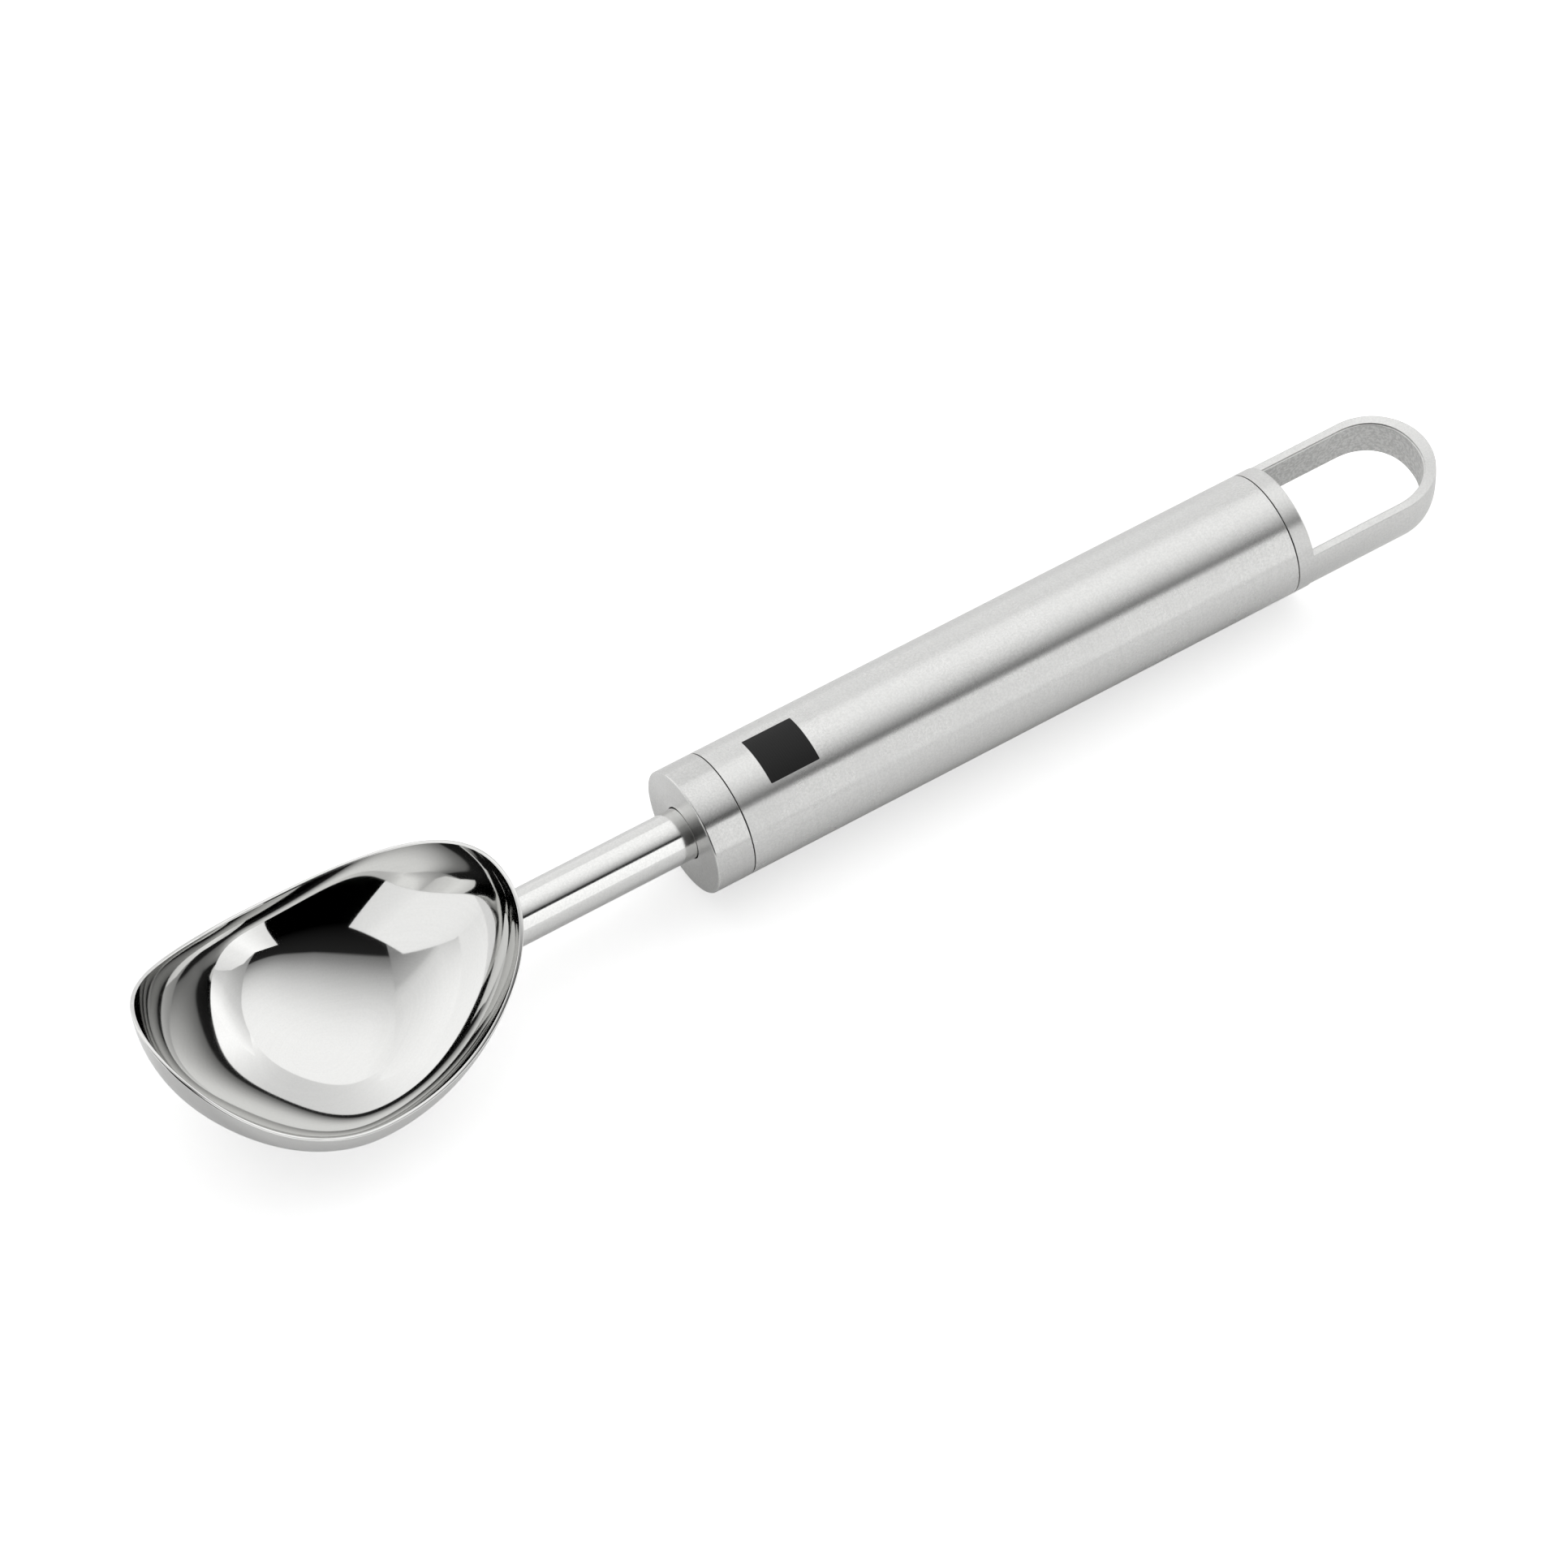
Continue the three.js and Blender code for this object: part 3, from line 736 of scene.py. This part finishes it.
def fastenerSteel():
    material, tree, out, place = newMaterial("fastenerSteel")
    tone, rough, grain = plainSurface(tree, place, fastenerLook)
    shader = addNode(tree, "ShaderNodeBsdfPrincipled", {
        "Base Color": greyNode(tree, tone, steelWarmth), "Metallic": 1.0, "Roughness": rough})
    tree.links.new(shader.outputs[0], out.inputs[0])
    return material


def sealRubber():
    material, tree, out, place = newMaterial("sealRubber")
    tone, rough, grain = plainSurface(tree, place, sealLook)
    bump = addNode(tree, "ShaderNodeBump", {"Strength": 1.0, "Distance": sealLook["bump"], "Height": grain})
    shader = addNode(tree, "ShaderNodeBsdfPrincipled", {
        "Base Color": greyNode(tree, tone), "Roughness": rough, "Normal": bump.outputs[0]})
    tree.links.new(shader.outputs[0], out.inputs[0])
    return material


innerSteel = fastenerSteel()
innerRubber = sealRubber()
for node, material in (("clamp_washer", innerSteel), ("clamp_nut", innerSteel), ("coupling_nut", innerSteel),
                       ("tie_rod", innerSteel), ("lock_nut", innerSteel), ("neck_o_ring", innerRubber),
                       ("front_o_ring", innerRubber), ("rear_o_ring", innerRubber)):
    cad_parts[node].data.materials.clear()
    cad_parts[node].data.materials.append(material)
print("finishes set")

# Studio round the scoop, in ceiling heights: a tent of glowing cards that only the object and the floor see.
# Angles are turned from the direction away from the camera towards its right, in degrees.
studio = dict(azimuth=34.0, height=3.0, sky=1.0,
              nearEdge=-1.0, leftEdge=-0.85, rightEdge=0.92, farEdge=1.26,
              roundFrom=0.45, roundPower=2.3, roundSteps=33, leftSkew=0.09, cornerFrom=0.35, cornerBend=0.7,
              wingEnd=3.3, wingNear=-0.6, wingFar=1.3, wingLap=0.1, wingGap=0.002, sideTop=0.995,
              coveRadius=3.3, coveHeight=3.6, coveSteps=91)
turnCos = math.cos(math.radians(studio["azimuth"]))
turnSin = math.sin(math.radians(studio["azimuth"]))
studioAxes = np.array([[turnSin, turnCos, 0], [turnCos, -turnSin, 0], [0, 0, 1]])  # away, right, up
studioMiddle = toWorld(np.array([bowlX, 0.0, 0.0])) * [1, 1, 0]
quad = [(0, 1, 2, 3)]


# Places given as away, right and up in ceiling heights, carried into the part's frame
def studioPoints(places):
    return np.asarray(places, float) * studio["height"] @ studioAxes + studioMiddle


def makeStage(name, points, faces, material):
    mesh = bpy.data.meshes.new(name)
    mesh.from_pydata(points, [], faces)
    mesh.materials.append(material)
    card = bpy.data.objects.new(name, mesh)
    bpy.context.scene.collection.objects.link(card)
    return card


def makeCard(name, places, faces, material):
    makeStage(name, studioPoints(places), faces, material).visible_camera = False


# Upright card: a row of places on the floor, and the same row higher up
def makeUpright(name, low, height, material):
    count = len(low)
    step = np.arange(count - 1)
    faces = np.stack([step, step + 1, step + 1 + count, step + count], 1).tolist()
    makeCard(name, np.concatenate([low, low + [0, 0, height]]), faces, material)


# Distance along one studio axis, in ceiling heights
def studioAlong(tree, place, axis):
    along = addNode(tree, "ShaderNodeVectorMath", {0: place, 1: tuple(studioAxes[axis] / studio["height"])},
                    operation="DOT_PRODUCT").outputs["Value"]
    return mathNode(tree, "SUBTRACT", along, float(studioMiddle @ studioAxes[axis]) / studio["height"])


# Strength that follows a list of (value, strength) stops with straight lines between them
def rampGlow(tree, value, stops):
    low = stops[0][0]
    high = stops[-1][0]
    most = max(strength for at, strength in stops)
    ramp = addNode(tree, "ShaderNodeValToRGB", {0: rangeNode(tree, value, low, high, kind="LINEAR")})
    for index, (at, strength) in enumerate(stops):
        stop = ramp.color_ramp.elements[index] if index < 2 else ramp.color_ramp.elements.new(1.0)
        stop.position = (at - low) / (high - low)
        level = strength / most
        stop.color = (level, level, level, 1)
    return mathNode(tree, "MULTIPLY", ramp.outputs[0], most)


def glowMaterial(name, shape):
    material, tree, out, place = newMaterial(name)
    shader = addNode(tree, "ShaderNodeEmission", {"Strength": shape(tree, place)})
    tree.links.new(shader.outputs[0], out.inputs[0])
    return material


# Softbox: strength by the distance away, and by the distance to the right
ceilingGlow = ((-1.0, 0.0), (-0.42, 0.02), (-0.385, 0.22), (-0.3, 0.34), (-0.15, 0.61), (0.0, 0.84),
               (0.15, 1.02), (0.3, 1.15), (0.45, 1.21), (0.6, 1.24), (1.3, 1.24))
ceilingDip = ((-0.85, 0.92), (-0.5, 1.0))


# The softbox fades in from its near edge, which runs askew on the left and curves away at the right corner,
# and dips towards its left side
def ceilingShape(tree, place):
    right = studioAlong(tree, place, 1)
    skew = mathNode(tree, "MULTIPLY", mathNode(tree, "MINIMUM", right, 0.0), studio["leftSkew"])
    beyond = mathNode(tree, "MAXIMUM", mathNode(tree, "SUBTRACT", right, studio["cornerFrom"]), 0.0)
    corner = mathNode(tree, "MULTIPLY", mathNode(tree, "MULTIPLY", beyond, beyond), studio["cornerBend"])
    away = mathNode(tree, "ADD", studioAlong(tree, place, 0), mathNode(tree, "SUBTRACT", skew, corner))
    return mathNode(tree, "MULTIPLY", rampGlow(tree, away, ceilingGlow), rampGlow(tree, right, ceilingDip))


# Straight sides, and a far end that follows half a superellipse
def makeSoftbox():
    across = np.sin(np.linspace(-math.pi / 2, math.pi / 2, studio["roundSteps"]))
    middle = (studio["leftEdge"] + studio["rightEdge"]) / 2
    half = (studio["rightEdge"] - studio["leftEdge"]) / 2
    power = studio["roundPower"]
    bulge = np.maximum(1 - np.abs(across) ** power, 0) ** (1 / power)
    far = studio["roundFrom"] + (studio["farEdge"] - studio["roundFrom"]) * bulge
    end = np.stack([far, middle + half * across, np.ones(len(across))], 1)
    near = [(studio["nearEdge"], studio["rightEdge"], 1), (studio["nearEdge"], studio["leftEdge"], 1)]
    places = np.concatenate([end, near])
    makeCard("softbox", places, [list(range(len(places)))], glowMaterial("ceilingGlow", ceilingShape))


# Wings beside the softbox, a little above it: strength by the distance away, skewed to the side
leftWing = dict(skew=-0.4, reach=-2.0,
                stops=((0.02, 0.3), (0.22, 0.48), (0.36, 0.6), (0.42, 0.78), (0.52, 0.91), (0.67, 0.98),
                       (0.82, 1.06), (1.04, 1.13), (1.19, 1.17), (1.34, 1.2), (1.58, 1.23), (1.8, 1.25)))
rightWing = dict(skew=0.5, reach=1.6,
                 stops=((0.3, 0.42), (0.55, 0.53), (0.7, 0.6), (0.8, 0.67), (0.9, 0.72), (1.0, 0.79),
                        (1.1, 0.83), (1.2, 0.88), (1.3, 0.98), (1.4, 1.08), (1.5, 1.14), (1.6, 1.24),
                        (1.7, 1.31), (1.8, 1.36), (2.0, 1.4)))


# A wing brightens away from the camera and, up to its reach, to its own side
def wingShape(wing):
    def shape(tree, place):
        limit = "MAXIMUM" if wing["reach"] < 0 else "MINIMUM"
        beside = mathNode(tree, limit, studioAlong(tree, place, 1), wing["reach"])
        shift = mathNode(tree, "MULTIPLY", beside, wing["skew"])
        return rampGlow(tree, mathNode(tree, "ADD", studioAlong(tree, place, 0), shift), wing["stops"])
    return shape


def makeWing(name, start, stop, wing):
    near = studio["wingNear"]
    far = studio["wingFar"]
    up = 1 + studio["wingGap"]
    makeCard(name, [(near, start, up), (far, start, up), (far, stop, up), (near, stop, up)], quad,
             glowMaterial(name, wingShape(wing)))


# Side cards: a line on the floor, away and right, and strength by the distance to the right
leftLine = ((-0.82, -0.42), (-0.34, -1.05), (-0.36, -2.9))
leftGlow = ((-2.5, 1.1), (-0.9, 1.16), (-0.72, 1.15), (-0.6, 1.04), (-0.45, 0.98))
rightLine = ((-0.64, 0.55), (-0.52, 0.92), (-0.2, 1.05), (0.02, 1.4), (0.15, 2.1))
rightGlow = ((0.55, 1.03), (0.62, 1.08), (0.7, 1.2), (0.8, 1.32), (0.91, 1.38), (0.95, 1.3), (0.99, 1.18),
             (1.1, 1.1), (1.4, 1.0), (2.1, 0.95))


def makeSide(name, line, stops):
    low = np.array([(away, right, 0) for away, right in line])
    glow = glowMaterial(name, lambda tree, place: rampGlow(tree, studioAlong(tree, place, 1), stops))
    makeUpright(name, low, studio["sideTop"], glow)


# Cove: strength by the angle
coveGlow = ((-135, 0.0), (-110, 1.0), (-90, 1.1), (-70, 1.22), (-50, 1.26), (-34, 1.19), (-27, 1.1),
            (-20, 1.02), (-12, 0.95), (-4, 0.91), (4, 0.88), (12, 0.87), (20, 0.91), (27, 1.02), (34, 1.18),
            (39, 1.32), (44, 1.4), (65, 1.33), (75, 1.1), (85, 0.85), (95, 0.72), (104, 0.6), (115, 0.33),
            (125, 0.15), (135, 0.0))


def coveShape(tree, place):
    turn = mathNode(tree, "ARCTAN2", studioAlong(tree, place, 1), studioAlong(tree, place, 0))
    return rampGlow(tree, mathNode(tree, "DEGREES", turn), coveGlow)


# Wall all round: an upright cylinder, away = R cos(a) and right = R sin(a)
def makeCove():
    a = np.radians(np.linspace(-180, 180, studio["coveSteps"]))
    ring = np.stack([np.cos(a), np.sin(a), 0 * a], 1) * studio["coveRadius"]
    makeUpright("coveCard", ring, studio["coveHeight"], glowMaterial("coveGlow", coveShape))


makeSoftbox()
makeWing("leftWing", studio["leftEdge"] + studio["wingLap"], -studio["wingEnd"], leftWing)
makeWing("rightWing", studio["rightEdge"] - studio["wingLap"], studio["wingEnd"], rightWing)
makeSide("leftCard", leftLine, leftGlow)
makeSide("rightCard", rightLine, rightGlow)
makeCove()

# Floor: its glow in the metal goes by the millimetres from the scoop's middle line, or from the loop's end
floorLook = dict(tone=0.9, seenGlow=0.52, loopFrom=72.0, loopSlope=3.0, size=30.0,
                 mirrorGlow=((8, 0.02), (16, 0.12), (45, 0.13), (90, 0.2)))


# Pale floor: a plain matt surface that takes the soft shadow. Where it is looked at it glows up to white, and
# in the metal it glows less, least of all near the bowl, neck and tube, so that the shade there stays.
def makeFloor():
    material, tree, out, place = newMaterial("paleFloor")
    path = addNode(tree, "ShaderNodeLightPath").outputs
    split = splitNode(tree, place)
    behind = mathNode(tree, "SUBTRACT", split[0], floorLook["loopFrom"] * mm)
    behind = mathNode(tree, "MULTIPLY", behind, floorLook["loopSlope"])
    aside = mathNode(tree, "MAXIMUM", mathNode(tree, "ABSOLUTE", split[1]), behind)
    clear = rampGlow(tree, mathNode(tree, "DIVIDE", aside, mm), floorLook["mirrorGlow"])
    inMetal = mathNode(tree, "MAXIMUM", path["Is Glossy Ray"], path["Is Transmission Ray"])
    mirrored = mathNode(tree, "MULTIPLY", inMetal, clear)
    seen = mathNode(tree, "MULTIPLY", path["Is Camera Ray"], floorLook["seenGlow"])
    tone = floorLook["tone"]
    matt = addNode(tree, "ShaderNodeBsdfDiffuse", {"Color": (tone, tone, tone, 1)})
    glow = addNode(tree, "ShaderNodeEmission", {"Strength": mathNode(tree, "ADD", seen, mirrored)})
    both = addNode(tree, "ShaderNodeAddShader", {0: matt.outputs[0], 1: glow.outputs[0]})
    tree.links.new(both.outputs[0], out.inputs[0])
    size = floorLook["size"]
    corners = [(-size, -size, 0), (size, -size, 0), (size, size, 0), (-size, size, 0)]
    makeStage("floor", corners, quad, material)


makeFloor()
world = bpy.data.worlds.new("sky")
world.use_nodes = True
world.node_tree.nodes["Background"].inputs["Color"].default_value = (1, 1, 1, 1)
world.node_tree.nodes["Background"].inputs["Strength"].default_value = studio["sky"]
bpy.context.scene.world = world
bpy.context.scene.view_settings.view_transform = "Standard"
print("studio set")

# Camera: turn, height angle and roll in degrees, distance and side steps in millimetres, lens and sensor in
# millimetres, and how far it sees in metres
view = dict(azimuth=34.0, elevation=56.08, roll=2.0, distance=1112.65, right=14.9, up=7.23,
            lens=172.97, sensor=36.0, clipEnd=100.0)


def makeCamera():
    a, e, roll = (math.radians(view[key]) for key in ("azimuth", "elevation", "roll"))
    right = np.array([math.cos(a), -math.sin(a), 0])
    back = np.array([-math.sin(a) * math.cos(e), -math.cos(a) * math.cos(e), math.sin(e)])
    up = np.cross(back, right)
    rolledRight = right * math.cos(roll) + up * math.sin(roll)
    rolledUp = up * math.cos(roll) - right * math.sin(roll)
    centre = toWorld(view["distance"] * back + view["right"] * rolledRight + view["up"] * rolledUp)
    turn = toolTurn @ np.stack([rolledRight, rolledUp, back], 1)
    data = bpy.data.cameras.new("photoCamera")
    data.sensor_width = view["sensor"]
    data.lens = view["lens"]
    data.clip_end = view["clipEnd"]
    camera = bpy.data.objects.new("photoCamera", data)
    camera.matrix_world = Matrix.Translation(centre) @ Matrix(turn.tolist()).to_4x4()
    bpy.context.scene.collection.objects.link(camera)
    bpy.context.scene.camera = camera


makeCamera()
print("camera set")
